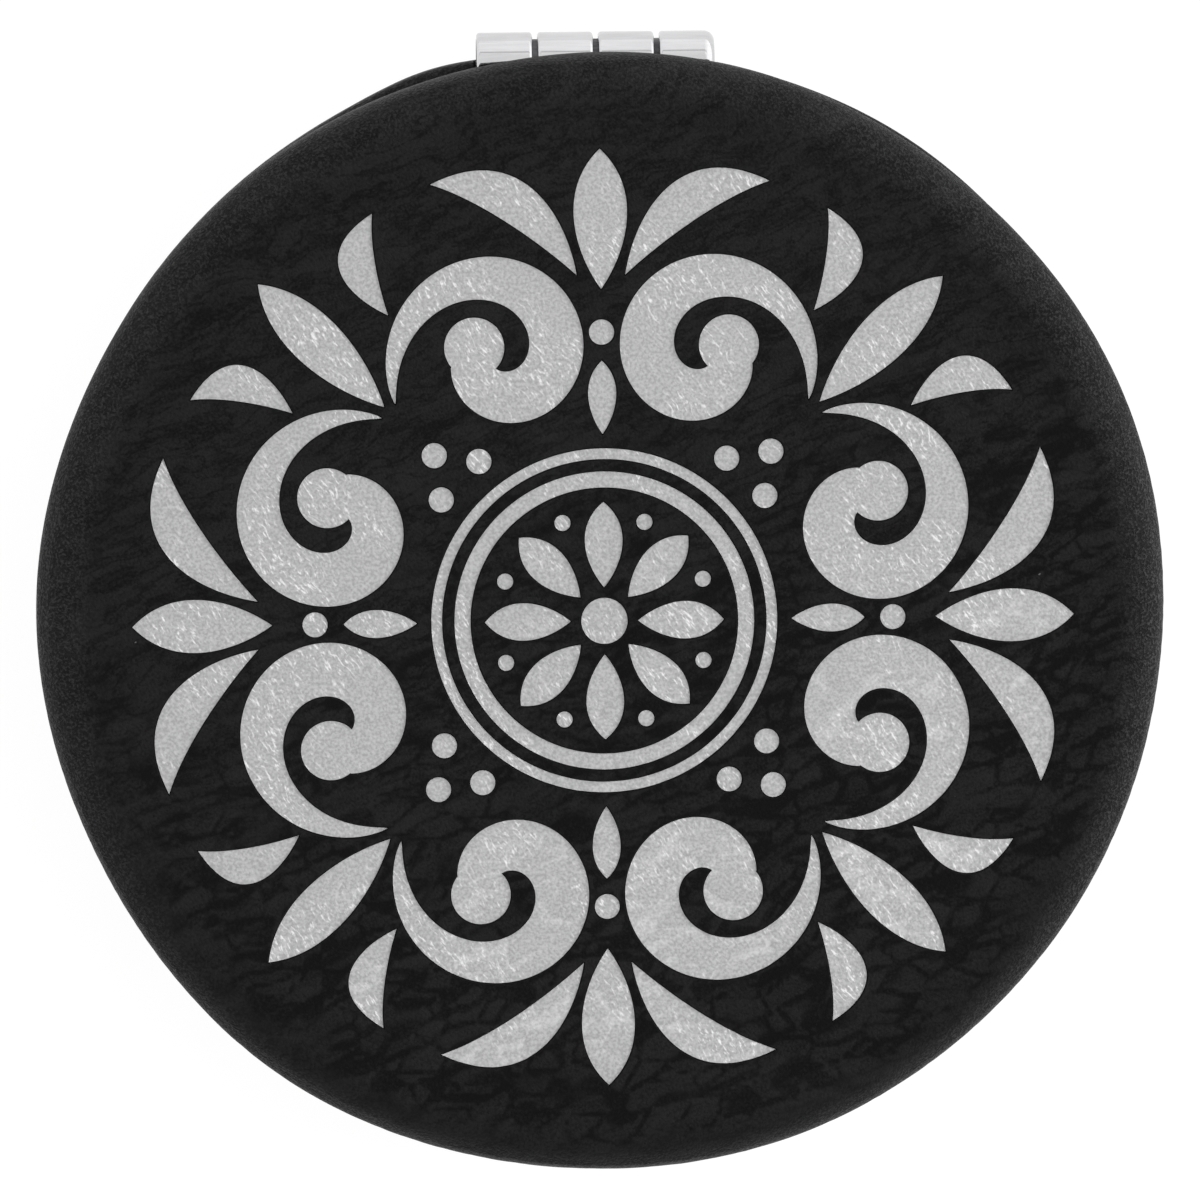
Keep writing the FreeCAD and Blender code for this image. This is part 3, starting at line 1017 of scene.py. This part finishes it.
def adhesive_pad():
    dark = (0.66, 0.66, 0.64)
    light = (0.80, 0.80, 0.78)
    return mottled("adhesive_pad", dark, light, length=0.6, depth=0.02, roughness=0.7)


# Stage: floor, light and camera


def seen_directly(tree):
    """1 for what the camera sees, straight on or in metal and glass."""
    path = tree.nodes.new("ShaderNodeLightPath")
    seen = maths(tree, "MAXIMUM", path.outputs["Is Camera Ray"], path.outputs["Is Glossy Ray"])
    return maths(tree, "MAXIMUM", seen, path.outputs["Is Transmission Ray"])


def make_floor():
    """A pale floor that looks white and still takes the object's shadow."""
    mesh = bmesh.new()
    bmesh.ops.create_grid(mesh, x_segments=1, y_segments=1, size=floor_side * MM / 2)
    floor = new_object("floor", mesh)
    material = bpy.data.materials.new("pale_floor")
    material.use_nodes = True
    tree = material.node_tree
    tree.nodes.clear()
    matte = tree.nodes.new("ShaderNodeBsdfDiffuse")
    matte.inputs["Color"].default_value = floor_matte
    faint = tree.nodes.new("ShaderNodeBsdfDiffuse")
    faint.inputs["Color"].default_value = floor_shade
    light = tree.nodes.new("ShaderNodeEmission")
    light.inputs["Strength"].default_value = floor_glow
    both = tree.nodes.new("ShaderNodeAddShader")
    tree.links.new(faint.outputs["BSDF"], both.inputs[0])
    tree.links.new(light.outputs["Emission"], both.inputs[1])
    mix = tree.nodes.new("ShaderNodeMixShader")
    tree.links.new(seen_directly(tree), mix.inputs["Fac"])
    tree.links.new(matte.outputs["BSDF"], mix.inputs[1])
    tree.links.new(both.outputs["Shader"], mix.inputs[2])
    output = tree.nodes.new("ShaderNodeOutputMaterial")
    tree.links.new(mix.outputs["Shader"], output.inputs["Surface"])
    floor.data.materials.append(material)


def studio_light(tree, x, y, z):
    """How bright the studio is in a direction: bright walls, dim overhead, brightest at the back right."""
    across = maths(tree, "ADD", x, maths(tree, "ABSOLUTE", x))
    sideways = maths(tree, "ADD", scaled(tree, y, by=0.7), scaled(tree, across, by=0.4))
    rise = maths(tree, "SUBTRACT", z, scaled(tree, sideways, by=0.8))
    wall = ranged(tree, rise, start=0.50, end=1.0, at_start=1.0, at_end=0.26)
    turn = ranged(tree, sideways, start=-0.8, end=0.7, at_start=0.5, at_end=1.2)
    right = ranged(tree, x, start=0.0, end=0.7, at_start=1.0, at_end=1.35)
    return maths(tree, "MULTIPLY", maths(tree, "MULTIPLY", wall, turn), right)


def studio_seam(tree, y, z):
    """A narrow darker seam between the back wall and the ceiling, which draws a line in the metal."""
    seam_height = 0.80
    away = maths(tree, "ABSOLUTE", maths(tree, "SUBTRACT", z, seam_height))
    line = ranged(tree, away, start=0.015, end=0.045, at_start=0.5, at_end=0.0)
    return maths(tree, "MULTIPLY", line, ranged(tree, y, start=0.3, end=0.5))


def make_world():
    """A studio for the object. The camera sees it as white, straight on and in metal and glass."""
    world = bpy.data.worlds.new("studio")
    bpy.context.scene.world = world
    world.use_nodes = True
    tree = world.node_tree
    background = tree.nodes["Background"]
    background.inputs["Color"].default_value = (1, 1, 1, 1)
    x, y, z = axes(tree, tree.nodes.new("ShaderNodeTexCoord").outputs["Generated"])
    white = maths(tree, "MAXIMUM", studio_light(tree, x, y, z), seen_directly(tree))
    strength = maths(tree, "SUBTRACT", white, studio_seam(tree, y, z))
    tree.links.new(strength, background.inputs["Strength"])


def softbox(name, spot, side, power):
    """A square lamp aimed at the object, which metal doesn't show. The spot and side are in millimetres."""
    lamp = bpy.data.lights.new(name, "AREA")
    lamp.size = side * MM
    lamp.energy = power
    holder = bpy.data.objects.new(name, lamp)
    bpy.context.scene.collection.objects.link(holder)
    holder.location = Vector(spot) * MM
    aim = Vector((0, 0, parting_height)) - Vector(spot)
    holder.rotation_euler = aim.to_track_quat("-Z", "Y").to_euler()
    holder.visible_glossy = False


def make_lights():
    softbox("overhead", overhead_spot, overhead_side, power=0.45)
    softbox("right", right_spot, right_side, power=2.6)


def make_camera():
    lens = bpy.data.cameras.new("photo_camera")
    lens.sensor_width = sensor_width
    lens.lens = sensor_width * camera_focal_pixels / photo_side
    lens.clip_start = nearest_view * MM
    lens.clip_end = farthest_view * MM
    camera = bpy.data.objects.new("photo_camera", lens)
    bpy.context.scene.collection.objects.link(camera)
    forward = (camera_aim - camera_spot).normalized()
    right = forward.cross(Vector((0, 1, 0))).normalized()
    up = right.cross(forward)
    heading = Matrix((right, up, -forward)).transposed()
    roll = Matrix.Rotation(math.radians(camera_roll), 3, "Z")
    camera.matrix_world = Matrix.Translation(camera_spot * MM) @ (heading @ roll).to_4x4()
    bpy.context.scene.camera = camera


# The scene


def give(material, *nodes):
    """Gives CAD nodes a material."""
    for name in nodes:
        slots = frame["nodes"][name].data.materials
        slots.clear()
        slots.append(material)


def both_halves(name):
    return f"lid_{name}", f"base_{name}"


make_camera()
make_floor()
make_world()
make_lights()
bpy.context.scene.view_settings.view_transform = "Standard"

black = [leatherette(), burnt_and_shaded_slope()]
silver = engraved_silver()
foam = pale_foam()

cut_radius = flat_radius + outside_length()
engraving = ornament_loops()
for half, edges in (("lid", engraving), ("base", [])):
    cover, top = cover_piece(half, edges, black)
    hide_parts(f"{half}_cover")
    if edges:
        inlay = silver_piece(*top, silver)
        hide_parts("lid_engraved_ornament")
    pad = foam_piece(half, foam)
    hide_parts(f"{half}_foam_pad")

give(plated("hinge_chrome", (0.65, 0.65, 0.66), roughness=0.09), *both_halves("hinge_leaf"))
give(plated("bezel_chrome", (0.76, 0.76, 0.77), roughness=0.14), *both_halves("bezel"))
# The pin shows only in the gaps between the knuckles; its very dark colour is painted shade there
give(plated("pin_steel", (0.11, 0.11, 0.115), roughness=0.45), "hinge_pin")
give(plated("rivet_steel", (0.58, 0.58, 0.58), roughness=0.3), *both_halves("hinge_rivets"))
give(plated("magnet_nickel", (0.62, 0.60, 0.56), roughness=0.2), *both_halves("magnet"))
give(silvered_glass(), *both_halves("mirror"))
give(moulded_plastic(), *both_halves("shell"))
give(grey_board(), *both_halves("mirror_tray"))
give(adhesive_pad(), *both_halves("mirror_glue"))
